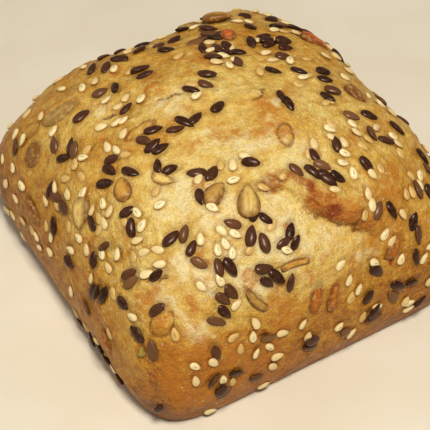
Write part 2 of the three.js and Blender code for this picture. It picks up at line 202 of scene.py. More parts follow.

# Kernels, largest first: place on the chart, heading, length, width, share proud, form, toasting;
# the skin of the crust runs on over covered ones
KERNELS = [
    (-56, 42, -15, 9.8, 4.6, 0.4, "pumpkin", "olive"), (-88, 28, 252, 7.8, 3.8, 0.5, "drop", "russet"),
    (-16.5, -42, 60, 7.8, 4.8, 0.75, "drop", "straw"), (26, 49, -20, 7.6, 4.6, 0.85, "drop", "golden"),
    (51.5, 19, -60, 7.6, 4.4, 0.5, "drop", "red"), (-31.5, 3, 0, 7.5, 3.2, 0.25, "covered", "outlined"),
    (-6, -83, 62, 7.5, 3, 0.24, "drop", "amber"), (-68.2, -5.3, 214, 7.4, 4.6, 0.5, "drop", "cream"),
    (2.5, -86, 62, 7, 2.2, 0.24, "rod", "amber"), (-31, -74.5, 116, 6.6, 2.1, 0.6, "rod", "tan"),
    (-11.5, -67.5, -5, 6.6, 1.7, 0.6, "rod", "golden"), (-28.3, -39, 32, 6.6, 4.2, 0.5, "drop", "tan"),
    (-24, 23.5, -45, 6.5, 4.2, 0.2, "covered", ""), (48, -14, -60, 6.4, 4.2, 0.45, "drop", "brown"),
    (-71.5, 38, 30, 6.4, 6, 0.2, "pumpkin", "brown"), (-49.5, -13.5, 65, 6.2, 4.2, 0.5, "drop", "golden"),
    (-76.5, -73.5, 10, 6.2, 4.8, 0.3, "covered", "outlined"),
    (8, -25, 60, 6, 3.4, 0.2, "covered", "outlined"), (-97, -50, 60, 6, 3.4, 0.5, "drop", "amber"),
    (-37, 24, 60, 6, 5, 0.15, "covered", ""), (34, -78, 40, 5.5, 3, 0.35, "broken", "amber"),
    (-68, 49, -30, 5.2, 3.6, 0.3, "pumpkin", "golden"), (22.5, 35.3, 59, 5, 3.6, 0.6, "drop", "red"),
    (-38.5, -20.5, -75, 5, 3.2, 0.35, "broken", "cream"), (-87, -73, 30, 2.6, 1.8, 0.6, "broken", "green"),
]
KERNEL_THICKNESS = 0.52  # as a share of width

# Groups of flax: place on the chart, heading in degrees, and how many lie side by side if not one
FLAX_GROUPS = [
    (-2, 9, -42, 2), (-11, 9, -53), (-5, -3, 22), (-21.2, -4.6, -8), (-17.5, -3, -70), (-27.8, -0.3, -16),
    (-32.7, -2.4, -57), (-31.8, -5.9, 5), (-30.6, -8.4, 2), (-35.5, -14, 59), (-35, -19, -15),
    (-32.5, -30, 105), (-25.5, -31.5, 32), (-8.5, -29.5, -24), (-36.5, -40.5, -78), (-16.5, -46.6, 54),
    (-13.4, -49.6, -63), (-27, -49, 159), (18, -11.5, -72), (20, -18.5, -72), (-46.5, 0.3, -29),
    (-48.4, -2.2, -70), (-53.5, -5, -39), (-44, -9.5, -60), (-42, 38.5, 15), (-37.5, 38, 44),
    (-33, 19, 34), (-49, 29.5, 16), (-54.9, 16, 39), (-55.5, 20.2, 35), (-60.2, 18.1, -45), (-61, 28, 60),
    (-76.5, 53, 40), (-73.1, 17.9, 5), (-72.4, 12.4, -73), (-73.5, 5.5, -90), (-84, 9, 40),
    (-53.5, -22, -9), (-56.5, -28, 57), (-67, -12.5, 70), (-69.5, -23.5, -40), (-76.5, -22.5, 40),
    (-87, -9, -90), (-84.5, -34, 26, 3), (-69.5, -44, -20, 2), (-79, -49, -90), (-83.5, -65.5, 77),
    (-85, -78, 60), (-53.5, -46.5, -4), (-50, -53, 30, 2), (-48, -59, -15), (-21.8, -53.8, 53),
    (-18.5, -57, 84), (-12.5, -59, 13), (-8.1, -57, 49), (-8.2, -61.4, 49), (-37, -61, -89, 2),
    (-23.5, -64.5, -15), (-22, -69.5, -74, 2), (-15, -73, 61), (-43.6, -70, -49), (-38.4, -69.2, -59),
    (-44.6, -74.8, -62), (-50, -76.8, -23), (-73, -66.5, -40), (-64.5, -54, -32), (-56, -87, 72),
    (-32.5, -89, -20), (-52, -97.5, -20), (-63, -99.5, 20, 3), (-43, -103, -15), (-104, -103, 0),
    (-11, -99, -20, 2), (10, -101, -20), (26, -100, 20, 2), (3.5, -38, -66), (13.5, -37, -85),
    (13.5, -41.5, -48), (8.5, -41, -69), (12, -44, -35), (12.7, -46.7, -56), (16.3, -46.8, -55),
    (32, -50, -75), (27, -63, 40), (34.5, -66, -83), (45, -73, 50), (46.5, -78.5, -95), (46, -86, -80),
    (24.5, -84, -40), (37, -94, -15, 2), (47, -94.5, -15), (20.5, -92.5, 50), (21, 23, 0),
    (35, 25, -20, 3), (37.5, 18, -20, 2), (21, 5, -53), (38, -4, -30, 2), (36, -13.5, -45, 2),
    (41.1, -27.6, -44), (47.7, -27.4, -40), (26, -38.5, 45), (47.5, -41.1, -71), (52.1, -45.4, -17),
    (-18.5, 31.5, -25, 2), (-4, 34.5, -30), (16.6, 27.5, 93), (6, 25.6, 70), (6.3, 19.1, -30),
    (16.5, 40, -20, 2),
]
GROUP_SPACING = 3.6  # chart units between the seeds of a group
GROUP_PLACE = 1.2  # how far a seed strays from its place in the group, on the chart
GROUP_HEADING = 40  # and from the group's heading, in degrees
GROUP_STACK = 0.4  # how much higher every second seed of a group lies, in mm

# Flax that the solid leaves out: place on the chart and heading
SINGLE_FLAX = [
    (31, 10.5, -45), (29.5, 0.5, -58), (32, 30.5, 60), (38.5, 41.5, -50), (42, 53, -35), (53, 40, -60),
    (49, 38, -35), (57, 37, -50), (60, 33, -35), (60, 13, -70), (57.9, -35.8, -60), (-13.5, -3.3, 20),
    (56, -67, 65), (68, -50, -70), (70, -58, -70), (16.5, 17.8, -40), (7.3, 33, 6), (12, 35.5, -15),
    (18.2, 35.5, 62), (10.9, 24.9, 90), (-3, 42, 20), (3.5, 43, 20), (-10.5, 43, 20), (-15.5, 52, 20),
    (-22, 55, 20), (-27, 46, 20), (-31, 52, 20), (-106, -44, 60), (-108, -54, 75), (-110, -66, 80),
    (-110, -33, 80), (-95, -29, 75), (-110, -21, 80), (15.5, 34.2, -20), (14.2, 22.3, -20),
]

# Sesame, given by place on the chart and heading: cream seeds, the first 24 in the solid too, and toasted
CREAM_SESAME = [
    (-36, 22.5, 15), (-44.5, 6, 75), (-71, 15.5, 40), (-62.3, -0.2, 10), (-58.4, -16, 35),
    (-75.2, -10.8, 95), (-67.5, -30.6, 45), (-60.6, -40.4, -45), (-54.3, -31, 25), (-79.3, -57.5, 100),
    (-69, -89.2, -30), (-39.7, -93, 40), (-25, -90, -10), (-35, -82, 97), (-14.5, -90.3, 45),
    (10.2, -82, 65), (29, -72, 32), (37, -83.4, 65), (13, -50.2, -32), (22.2, -44.4, -35),
    (29.6, -35.2, -45), (28.5, 16.5, -25), (10.8, 15.3, 100), (-17.3, -34.2, 12),
    (-40, 31, 60), (-33.5, 25.5, 70), (-37.5, 14, 20), (-35, 12.7, 15), (-43, 16.7, -25), (-37, 6, 30),
    (-42.5, 2, 90), (-54, 10.4, -45), (-68, 6.5, 50), (-78.8, 19, 65), (-58.4, -11.3, 60),
    (-63.6, -9.2, 35), (-63, -17.4, 65), (-59.5, 34.5, 25), (-83, 50.5, 75), (-84, 39.5, 80),
    (-92.5, 48, 85), (-97.4, 42, 85), (-95.5, 25, 80), (-98.5, 23, 110), (-94, 10, 95), (-88, 9.5, 20),
    (-25.5, 42.5, 20), (-38, 46, 10), (-14.5, 46, 0), (-28, 18.7, 65), (-9, 4.5, 40), (6.2, 16.4, -20),
    (11, 20, -10), (16, 18.3, -35), (18.5, 26, 60), (11.5, 30.5, 0), (-14.5, -28.8, 60),
    (-34.3, -33.7, 45), (-8.5, -26.3, -20), (3, 53, 0), (15, 48.5, 0), (26, 10, -30), (31, 7.4, 60),
    (48.4, 8, -50), (50.7, -3.4, -40), (29.2, -3, -5), (43.5, 32, -25), (34.3, 29, 0), (49, 26.5, -35),
    (40, 46, -35), (56, 10, -60), (26.3, -37, -50), (41.6, -34.5, -68), (43, -42, -62), (49.7, -36, 55),
    (26, -42.8, -40), (29.8, -40.5, 60), (23.6, -48.8, 75), (32.2, -53, -65), (57, -46, -50),
    (55.3, -41.3, -38), (25.6, -56.8, 70), (25.2, -60.5, 68), (40.2, -69.5, -60), (16, -33.7, 60),
    (58, -20, -50), (60, -26, -60), (59.2, -66.8, 70), (32.2, -75.5, 30), (50.7, -87.5, 45), (7, -75, 30),
    (15.4, -87.4, 65), (23.3, -80.2, -35), (27.6, -97.5, -8), (46.5, -100.5, 70), (50.5, -102.5, 0),
    (53, -106, 8), (-12.5, -96, 60), (5.4, -98, 30), (14.3, -103.8, 35), (59.5, -97.6, 60),
    (-32, -43.4, -20), (-32, -50.3, -50), (-27.2, -51.7, -35), (-32.7, -54, 97), (-36.8, -55.5, 70),
    (-31.6, -57, 60), (-41, -64.3, 97), (-50.2, -65.5, -40), (-39, -73.4, 20), (-12.4, -62, -35),
    (-52, -25.2, 80), (-46.2, -29.8, -20), (-82.5, -8.2, 100), (-75.7, -17.6, 42), (-74, -31, 75),
    (-72, -24.7, 60), (-82.7, -26.7, 20), (-58.8, -34, -35), (-58, -45, 100), (-61.5, -51, 110),
    (-65.6, -49, -45), (-97.4, -13.3, 40), (-38.3, -86.3, 65), (-32.7, -93, -45), (-30, -98, 0),
    (-33.2, -101, -45), (-59.8, -89.7, -50), (-72.2, -94, 65), (-59.5, -97, 60), (-77, -112, -10),
    (-41.5, -111, 10), (-43, -52.4, 60), (-104, -41, 100), (-108, -60, 88), (8.2, 23.6, 20),
]
TOASTED_SESAME = [
    (-41, -2, -35), (-58.3, 12, 50), (-59.2, 5.8, 90), (-64.8, 11.8, -50), (-63.5, -14, 75),
    (-66.4, -17, 20), (-57, -23.5, 60), (-51.5, 12, 0), (-76.6, -2, 45), (-76.2, 11, 85), (-22, 37, 10),
    (-9.2, 11.4, -35), (-19.5, -28.5, 60), (-29.5, -36, 20), (-43, -23, 30), (-1, -37.5, 30),
    (-8.4, -38.4, -35), (11.5, -35, 60), (18, 6.6, 60), (33, 10, 60), (38.6, 7, -20), (32.6, -2.4, 15),
    (26, -5.5, -35), (36.5, -16.7, 60), (34, -17.6, 20), (46, 29.5, -40), (39, 24, -20),
    (35.3, -35.3, -70), (38.5, -53.6, 65), (38.5, -46, -60), (58, -52.5, -72), (20.8, -61.8, 60),
    (51, -66, 70), (57.5, -63.3, -70), (46.5, -65, 60), (11.6, -89.5, 60), (20, -99, 60),
    (-13.2, -52.3, 30), (-24.5, -57.5, 30), (-64, -37.4, 60), (-79.5, -41, 60), (-46.2, -84, 10),
    (-45.5, -89, 60), (-55.4, -99.5, 60), (-73, -79, 75), (-4.5, 44, -10), (-2.5, 26.5, 0), (-96, 31, 80),
    (-87, 15.5, 30), (47, -47, -60), (-107, -27, 85), (-108, -14, 80), (-93, -50.5, 65),
]

# Scattered by rule on the two sides away from the tear, where none was listed
SCATTER_REACH = 108.0  # how far down the crust the scatter goes, on the chart
SCATTER_STEP = (0.7548776662, 0.5698402910)  # spreads places evenly over a square
SERIES_SHIFT = (0.31, 0.17)  # sets the places of one series apart from the next
CLEARANCE = 0.8  # mm between scattered seeds, besides SEED_REACH of both their lengths
SEED_REACH = 0.25
BACK_STARTS = (54, 44)
BACK_KEEP = 0.75
BACK_FLAX_TRIES = 100
BACK_SESAME_TRIES = 420
BACK_KERNEL_TRIES = 34
BACK_SIZES = [(5.5, 9), (0.4, 0.65), (0.25, 0.6)]  # of kernels: length, slenderness, share proud
BACK_FORMS = [("drop", "golden"), ("drop", "brown"), ("rod", "tan"), ("drop", "amber"), ("broken", "tan"),
              ("pumpkin", "olive"), ("drop", "russet"), ("drop", "cream")]

# Small seeds at real size: form, toasting, length, width, thickness, share that stands out of the crust
SMALL_SEEDS = {
    "flax": ("flax", "", 4.5, 2.35, 1.2, 0.62),
    "cream": ("sesame", "cream", 3.0, 1.8, 0.9, 0.65),
    "toasted": ("sesame", "toasted", 3.0, 1.8, 0.9, 0.35),
}

# Forms of seeds in half sizes: flutes, bends, the raised edge of pumpkin seeds, the ends of broken kernels
FLUTE_COUNT = 5
BEND_MIDDLE = 0.4
BEAD_FLOOR = 0.75
BEAD_PLACE = (0.86, 0.1)
CUT_SLANT = 0.2
CUT_WAVES = (3, 0.05)

# How seeds differ: the most they roll and pitch in degrees, smallest and largest size, depth of dents
SEED_TILT = {"flax": (28, 12), "sesame": (14, 6), "drop": (8, 4), "rod": (8, 4), "broken": (10, 6)}
SEED_SIZES = {"flax": (0.84, 1.06), "sesame": (0.9, 1.08)}
USUAL_SIZES = (0.98, 1.02)
SEED_UNEVEN = {"drop": 0.1, "rod": 0.12, "broken": 0.14}
USUAL_UNEVEN = 0.07
DENT_PITCH = 2.3
DENT_TURN = 6.3
DENT_PHASES = (0, 2, 4)

# Colours of the seeds, and the half sizes of the slit that some sesame shows
FLAX_TONES = [(0.0, (44, 22, 13)), (0.6, (64, 34, 21)), (0.88, (94, 57, 35)), (1.0, (124, 84, 48))]
SESAME_TINTS = {"cream": (244, 226, 170), "toasted": (214, 176, 100)}
KERNEL_TINTS = {
    "cream": (234, 198, 114), "straw": (212, 176, 94), "golden": (202, 148, 58), "tan": (184, 140, 66),
    "amber": (178, 96, 12), "russet": (152, 88, 30), "brown": (140, 86, 30), "olive": (180, 142, 74),
    "red": (204, 82, 16), "green": (160, 150, 48),
}
SESAME_SLIT = (0.16, 0.42)

# Camera, from the outline of the roll in the 430 by 430 pixel photo
PHOTO_SIDE = 430
CAMERA_AZIMUTH = -31.3  # degrees, from the -Y side
CAMERA_ELEVATION = 46.2
CAMERA_DISTANCE = 350.0
CAMERA_TARGET = (0, 0, 20.0)
TARGET_PIXEL = (225.0, 182.8)  # where the target lies in the photo
FOCAL_PIXELS = 1486.0
SENSOR = 36.0

# Lights: how far from the target towards the camera, to its right and up, then size, power and tone
LIGHTS = [
    ("key", (530, 50, 200), 140, 3.0, (1.0, 0.96, 0.9)),
    ("fill", (300, -600, 500), 600, 0.8, (1.0, 0.98, 0.95)),
]
WORLD_TONE = (1.0, 0.98, 0.95, 1.0)
WORLD_STRENGTH = 0.2

FLOOR_SIDE = 6000.0
FLOOR_DROP = 0.05  # below the base


# The chart and the dough

def draw(index, series):
    """A repeatable draw between 0 and 1, from a numbered series."""
    wave = np.sin(np.asarray(index)*12.9898 + series*78.233)*43758.5453
    return wave - np.floor(wave)


def between(limits, share):
    low, high = limits
    return low + (high - low)*share


def smoothstep(value, low, high, height=1.0):
    share = np.clip((value - low)/(high - low), 0, 1)
    return height*share*share*(3 - 2*share)


def swell(offset, away, spread, height=1.0):
    return height*np.exp(-((offset - away)/spread)**2)


def openness(share):
    """How open a tear or a streak is at a share of its length: shut at both ends."""
    return np.sqrt(np.sin(math.pi*share))


def unit(vectors):
    return vectors/np.linalg.norm(vectors, axis=-1, keepdims=True)


def section_radius(azimuth, power):
    """The distance from the middle to a superellipse as wide and deep as the roll."""
    across = np.abs(2*np.cos(azimuth)/WIDTH)**power
    deep = np.abs(2*np.sin(azimuth)/DEPTH)**power
    return (across + deep)**(-1/power)


def chart_level(x, y):
    return np.maximum(np.abs(x), np.abs(y))/CHART_BULGE


def chart_points(x, y):
    """The smooth dough at places on the chart, in mm."""
    level = chart_level(x, y)
    azimuth = np.arctan2(y, x)
    turn = 0.5*math.pi*np.minimum(level, 1)**CHART_STRETCH
    rise = np.maximum(np.cos(turn), 0)**(2/CROWN_POWER)
    under = np.maximum(level - 1, 0)*CHART_BULGE/(CHART_BASE - CHART_BULGE)
    reach = np.maximum(np.sin(turn)**(2/FLANK_POWER) - BASE_INSET*under**2, 0)
    radius = reach*section_radius(azimuth, BULGE_POWER + (TOP_POWER - BULGE_POWER)*rise)
    height = BULGE_HEIGHT*(1 - under) + (HEIGHT - BULGE_HEIGHT)*rise
    return np.stack([radius*np.cos(azimuth), radius*np.sin(azimuth), height], axis=-1)


def chart_normals(x, y, step=0.5):
    along_x = chart_points(x + step, y) - chart_points(x - step, y)
    along_y = chart_points(x, y + step) - chart_points(x, y - step)
    return unit(np.cross(along_x, along_y))


def along_path(path, x, y):
    """Signed distance on the chart from a path, positive on its left, and the share of the path gone by."""
    nearest = np.full(np.shape(x), np.inf)
    offset = np.zeros(np.shape(x))
    share = np.zeros(np.shape(x))
    for i, ((ax, ay), (bx, by)) in enumerate(zip(path[:-1], path[1:])):
        ux, uy = bx - ax, by - ay
        part = np.clip(((x - ax)*ux + (y - ay)*uy)/(ux*ux + uy*uy), 0, 1)
        distance = np.hypot(x - ax - part*ux, y - ay - part*uy)
        side = np.where(ux*(y - ay) - uy*(x - ax) < 0, -1, 1)
        closer = distance < nearest
        nearest = np.where(closer, distance, nearest)
        offset = np.where(closer, distance*side, offset)
        share = np.where(closer, (i + part)/(len(path) - 1), share)
    return offset, share


def waves(points, length, series, count=24):
    """Smooth seeded unevenness, mostly between -1 and 1, with features of a length in mm."""
    total = np.zeros(points.shape[:-1])
    for i in range(count):
        turn = 2*math.pi*draw(i, series)
        up = 2*draw(i, series + 1) - 1
        flat = math.sqrt(1 - up*up)
        way = np.array([flat*math.cos(turn), flat*math.sin(turn), up])
        pitch = length*(0.7 + 0.8*draw(i, series + 2))
        total += np.sin(2*math.pi*(points @ way)/pitch + 2*math.pi*draw(i, series + 3))
    return total/math.sqrt(2*count)


def unevenness(points, parts, series, step=5):
    """Waves of several lengths and heights, added up."""
    return sum(height*waves(points, length, series + step*i) for i, (length, height) in enumerate(parts))


def ragged_path(path, ragged, series, x, y, points):
    """As along_path, from a ragged line that follows the path."""
    offset, share = along_path(path, x, y)
    return offset + unevenness(points, ragged, series), share


def tear_strands(offset, points):
    """Strands of torn dough along the tear's edge: 1 on a strand, 0 between two."""
    length, stray = STRAND_STRAY
    winding = stray*waves(points, length, 180)
    return 0.5 + 0.5*np.sin(2*math.pi*offset/STRAND_SPACING + winding)


def crack_shares(x, y, points):
    """How far places lie in each of the cracks, 0 to 1."""
    shares = []
    for path in CRACKS:
        offset, share = ragged_path(path, CRACK_RAGGED, 100, x, y, points)
        shares.append(np.sin(math.pi*share)*swell(offset, 0, CRACK_SPREAD))
    return shares


def skin_step(offset, half_width, fade, height):
    """The raised edge of the skin: steep towards softer dough, and dying away behind."""
    return smoothstep(offset, -half_width, half_width, height)*np.exp(-np.maximum(offset, 0)/fade)


def broad_relief(x, y):
    """How far the crust stands off the smooth dough, in mm, as in the solid."""
    points = chart_points(x, y)
    height = np.zeros(np.shape(x))
    for towards, length, lump, phase in LUMPS:
        way = points @ unit(np.array(towards))
        height += lump*np.sin(2*math.pi*way/length + phase)
    height *= 1 - smoothstep(chart_level(x, y), *LUMPS_FADE)
    offset, share = along_path(TEAR_PATH, x, y)
    for part in (TEAR_LIP, TEAR_FOOT, TEAR_RISE):
        height += openness(share)*swell(offset, *part)
    for path, spread, crease in CREASES:
        offset, share = along_path(path, x, y)
        height += np.sin(math.pi*share)*swell(offset, 0, spread, crease)
    return height


def fine_relief(x, y):
    """The uneven skin and the ragged torn dough that the solid is too coarse for, in mm."""
    points = chart_points(x, y)
    height = unevenness(points, SKIN, 40, step=10)
    offset, share = ragged_path(*TEAR_LINE, x, y, points)
    length, rough = TORN_ROUGHNESS
    torn = skin_step(offset, *TEAR_EDGE) + swell(offset, *TEAR_GROOVE)
    torn += swell(offset, *STRAND_BAND, STRAND_HEIGHT)*tear_strands(offset, points)
    torn -= swell(offset, *TORN_BAND, rough)*np.abs(waves(points, length, 80))
    height += openness(share)*torn
    offset, share = ragged_path(*EDGE_LINE, x, y, points)
    height += openness(share)*skin_step(offset, *SKIN_EDGE)
    height += CRACK_HEIGHT*sum(crack_shares(x, y, points))
    return height*(1 - smoothstep(chart_level(x, y), *SKIN_FADE))


# Which seeds lie where

@dataclass
class Seed:
    x: float
    y: float
    heading: float
    length: float
    width: float
    thickness: float
    proud: float
    form: str
    toasting: str = ""
    lift: float = 0.0


def small_seed(kind, x, y, heading):
    form, toasting, *sizes = SMALL_SEEDS[kind]
    return Seed(x, y, heading, *sizes, form, toasting)


def kernel(x, y, heading, length, width, proud, form, toasting):
    return Seed(x, y, heading, length, width, KERNEL_THICKNESS*width, proud, form, toasting)


def grouped_flax():
    seeds = []
    for x, y, heading, *more in FLAX_GROUPS:
        count = more[0] if more else 1
        across = math.radians(heading + 90)
        for i in range(count):
            step = GROUP_SPACING*(i - 0.5*(count - 1))
            stray_x, stray_y, stray_turn = (draw(len(seeds), 1 + k) - 0.5 for k in range(3))
            turn = heading + (GROUP_HEADING*stray_turn if count > 1 else 0)
            seeds.append(small_seed("flax", x + step*math.cos(across) + GROUP_PLACE*stray_x,
                                    y + step*math.sin(across) + GROUP_PLACE*stray_y, turn))
            seeds[-1].lift = GROUP_STACK*(i % 2)
    return seeds


def scatter(tries, series, make_seed, seeds):
    """An even scatter over the sides away from the tear, thinned out and kept clear of the seeds there."""
    added = []
    places = [chart_points(seed.x, seed.y) for seed in seeds]
    lengths = [seed.length for seed in seeds]
    for i in range(tries):
        x, y = (SCATTER_REACH*(2*((0.5 + (i + 1)*step + series*shift) % 1) - 1)
                for step, shift in zip(SCATTER_STEP, SERIES_SHIFT))
        on_back = x > BACK_STARTS[0] or y > BACK_STARTS[1]
        if not on_back or draw(i, series) >= BACK_KEEP:
            continue
        seed = make_seed(i, x, y, 360*draw(i, series + 1))
        place = chart_points(x, y)
        gaps = np.linalg.norm(np.array(places) - place, axis=1)
        if np.all(gaps > CLEARANCE + SEED_REACH*(seed.length + np.array(lengths))):
            added.append(seed)
            places.append(place)
            lengths.append(seed.length)
    return added


def back_kernel(index, x, y, heading):
    length, slenderness, proud = map(between, BACK_SIZES, (draw(index, 31 + k) for k in range(3)))
    return kernel(x, y, heading, length, length*slenderness, proud, *BACK_FORMS[index % len(BACK_FORMS)])


def all_seeds():
    seeds = [kernel(*row) for row in KERNELS] + grouped_flax()
    for kind, rows in (("flax", SINGLE_FLAX), ("cream", CREAM_SESAME), ("toasted", TOASTED_SESAME)):
        seeds += [small_seed(kind, *row) for row in rows]
    seeds += scatter(BACK_KERNEL_TRIES, 5, back_kernel, seeds)
    seeds += scatter(BACK_FLAX_TRIES, 9, lambda i, *place: small_seed("flax", *place), seeds)
    seeds += scatter(BACK_SESAME_TRIES, 13, lambda i, *place: small_seed("cream", *place), seeds)
    return seeds


# Meshes

def column(seeds, name):
    return np.array([getattr(seed, name) for seed in seeds], float)


def seed_frames(seeds):
    """Where each seed lies: its middle, and its directions across, along and outward."""
    x, y = column(seeds, "x"), column(seeds, "y")
    turn = np.radians(column(seeds, "heading"))
    step_x, step_y = np.cos(turn), np.sin(turn)
    normal = chart_normals(x, y)
    along = chart_points(x + step_x, y + step_y) - chart_points(x - step_x, y - step_y)
    across = unit(np.cross(along, normal))
    along = np.cross(normal, across)
    proud = (column(seeds, "proud") - 0.5)*column(seeds, "thickness")
    lift = broad_relief(x, y) + proud + column(seeds, "lift")
    middle = chart_points(x, y) + normal*lift[:, None]
    return middle, across, along, normal


def seed_body(sides, rings, taper, point, blunt=1.0, lens=0.0, cut=-1.0, bend=0.0, flutes=0.0, bead=0.0):
    """A seed's surface in its own half sizes, with its tip towards +y, and its faces."""
    turn = math.pi*np.arange(1, rings)/rings
    around = 2*math.pi*np.arange(sides)/sides
    y = np.cos(turn)[:, None]
    girth = np.sin(turn)[:, None]**(blunt + point*np.maximum(y, 0))*(1 - 0.5*taper*y)
    ridge = 1 + flutes*np.cos(FLUTE_COUNT*around)[None, :]
    x = girth*np.cos(around)*ridge + bend*(y*y - BEND_MIDDLE)
    z = girth*np.sin(around)*np.abs(np.sin(around))**lens*ridge
    if bead:
        radius = np.hypot(girth*np.cos(around), y)
        z = z*(BEAD_FLOOR + swell(radius, *BEAD_PLACE, bead))
    if cut > -1:
        y = np.maximum(y, cut + CUT_SLANT*np.cos(around) + CUT_WAVES[1]*np.sin(CUT_WAVES[0]*around))
    wall = np.stack(np.broadcast_arrays(x, y, z), axis=-1).reshape(-1, 3)
    tip_bend = bend*(1 - BEND_MIDDLE)
    points = np.vstack([[(tip_bend, 1, 0)], wall, [(tip_bend, cut, 0)]])
    points[:, 1] = (2*points[:, 1] - 1 - cut)/(1 - cut)
    last = len(points) - 1
    faces = []
    for j in range(sides):
        k = (j + 1) % sides
        faces.append((0, 1 + j, 1 + k))
        for i in range(rings - 2):
            row, below = 1 + i*sides, 1 + (i + 1)*sides
            faces.append((row + j, below + j, below + k, row + k))
        row = 1 + (rings - 2)*sides
        faces.append((last, row + k, row + j))
    return points, faces


SEED_BODIES = {
    "flax": seed_body(20, 14, taper=0.35, point=0.35, lens=0.25),
    "sesame": seed_body(16, 11, taper=0.5, point=0.4, lens=0.15),
    "drop": seed_body(32, 24, taper=0.62, point=0.75),
    "rod": seed_body(28, 24, taper=0.2, point=0.0, blunt=0.35, bend=0.4, flutes=0.03),
    "broken": seed_body(28, 22, taper=0.45, point=0.5, cut=-0.35, flutes=0.03),
    "pumpkin": seed_body(36, 26, taper=0.3, point=0.25, bead=0.55),
}


def tilt(seeds, across, along, normal):
    """Seeds don't lie quite flat: each is rolled about its length and pitched."""
    index = np.arange(len(seeds))
    most = np.radians([SEED_TILT.get(seed.form, (0, 0)) for seed in seeds])
    roll, pitch = ((most[:, k]*(2*draw(index, 51 + k) - 1))[:, None] for k in range(2))
    across, normal = across*np.cos(roll) + normal*np.sin(roll), normal*np.cos(roll) - across*np.sin(roll)
    along, normal = along*np.cos(pitch) + normal*np.sin(pitch), normal*np.cos(pitch) - along*np.sin(pitch)
    return across, along, normal


def new_object(name, data):
    made = bpy.data.objects.new(name, data)
    bpy.context.scene.collection.objects.link(made)
    return made


def mesh_object(name, points, faces, material):
    mesh = bpy.data.meshes.new(name)
    mesh.from_pydata((points*MM).tolist(), [], faces, shade_flat=False)
    mesh.materials.append(material)
    return new_object(name, mesh)


def attach(made, name, kind, values):
    """Gives each vertex of an object a value that its material reads."""
    attribute = made.data.attributes.new(name, kind, "POINT")
    field = {"FLOAT": "value", "FLOAT_VECTOR": "vector", "FLOAT_COLOR": "color"}[kind]
    attribute.data.foreach_set(field, np.asarray(values, np.float32).ravel())


def seed_piece(name, seeds, material, tints=None):
    """All seeds of a kind as one mesh."""
    middle, across, along, normal = seed_frames(seeds)
    across, along, normal = tilt(seeds, across, along, normal)
    points, faces, bodies, sizes = [], [], [], []
    for i, seed in enumerate(seeds):
        body, body_faces = SEED_BODIES[seed.form]
        dents = np.sin(DENT_PITCH*body[:, [1, 2, 0]] + DENT_TURN*draw(i, 61) + np.array(DENT_PHASES))
        dents *= SEED_UNEVEN.get(seed.form, USUAL_UNEVEN)*np.sqrt(np.maximum(1 - np.abs(body[:, 1:2]), 0))
        grown = between(SEED_SIZES.get(seed.form, USUAL_SIZES), draw(i, 62))
        half = 0.5*np.array([seed.width, seed.length, seed.thickness])*grown
        points.append(middle[i] + (body + dents)*half @ np.array([across[i], along[i], normal[i]]))
        first = sum(sizes)
        faces += [tuple(first + corner for corner in face) for face in body_faces]
        bodies.append(body)
        sizes.append(len(body))
    made = mesh_object(name, np.vstack(points), faces, material)
    attach(made, "body", "FLOAT_VECTOR", np.vstack(bodies))
    attach(made, "chance", "FLOAT", np.repeat(draw(np.arange(len(seeds)), 63), sizes))
    if tints:
        colours = [colour(*tints[seed.toasting]) for seed in seeds]
        attach(made, "tint", "FLOAT_COLOR", np.repeat(colours, sizes, axis=0))
    return made


def seed_marks(points, seeds):
    """Edges of seeds and of outlined kernels on the crust, 1 to 0 beside them, and covered lumps in mm."""
    middle, across, along, _ = seed_frames(seeds)
    moat_and_shade, outlines_and_shade, lumps = (np.zeros(points.shape[:-1]) for _ in range(3))
    for i, seed in enumerate(seeds):
        away = points - middle[i]
        near = np.linalg.norm(away, axis=-1) < 0.5*seed.length + MARK_REACH
        sides = away[near] @ across[i]
        ends = away[near] @ along[i]
        radius = np.hypot(sides/(0.5*seed.width), ends/(0.5*seed.length))
        outside = (radius - 1)*0.5*seed.width
        if seed.form == "covered":
            lumps[near] += seed.proud*seed.thickness*(1 - smoothstep(radius, *COVERED_SHOULDER))
        # Rims and outlines draw the skin in; rims also carry painted shade, outlines a browner line with
        # painted shade
        if seed.toasting == "outlined":
            outlines_and_shade[near] = np.maximum(outlines_and_shade[near], swell(outside, 0, OUTLINE))
        elif seed.form != "covered":
            moat_and_shade[near] = np.maximum(moat_and_shade[near], swell(np.maximum(outside, 0), 0, SEED_RIM))
    return moat_and_shade, outlines_and_shade, lumps


def spots(x, y, rows):
    """How far places on the chart lie in soft round spots, 0 to 1."""
    inside = np.zeros(np.shape(x))
    for spot_x, spot_y, radius, strength in rows:
        inside = np.maximum(inside, strength*np.exp(-((x - spot_x)**2 + (y - spot_y)**2)/radius**2))
    return inside


def soft_lines(x, y, rows):
    """How far places on the chart lie in soft lines that run out at both ends, 0 to 1."""
    inside = np.zeros(np.shape(x))
    for path, spread in rows:
        offset, share = along_path(path, x, y)
        inside = np.maximum(inside, openness(share)*swell(offset, 0, spread))
    return inside


def browning(x, y, points):
    """How brown the crust is baked, 0 to 1, with painted shade below the bulge and at the near corner."""
    level = chart_level(x, y)
    browned = CROWN_BROWNING + unevenness(points, BROWNING_UNEVEN, 130)
    browned += sum(smoothstep(level, *row) for row in BROWNING_DOWN)
    browned += smoothstep(-y, *BROWNING_FRONT) + smoothstep(y, *BROWNING_BACK)
    return browned + spots(x, y, [SHADED_BROWN_CORNER]) - spots(x, y, [PALE_FRONT])


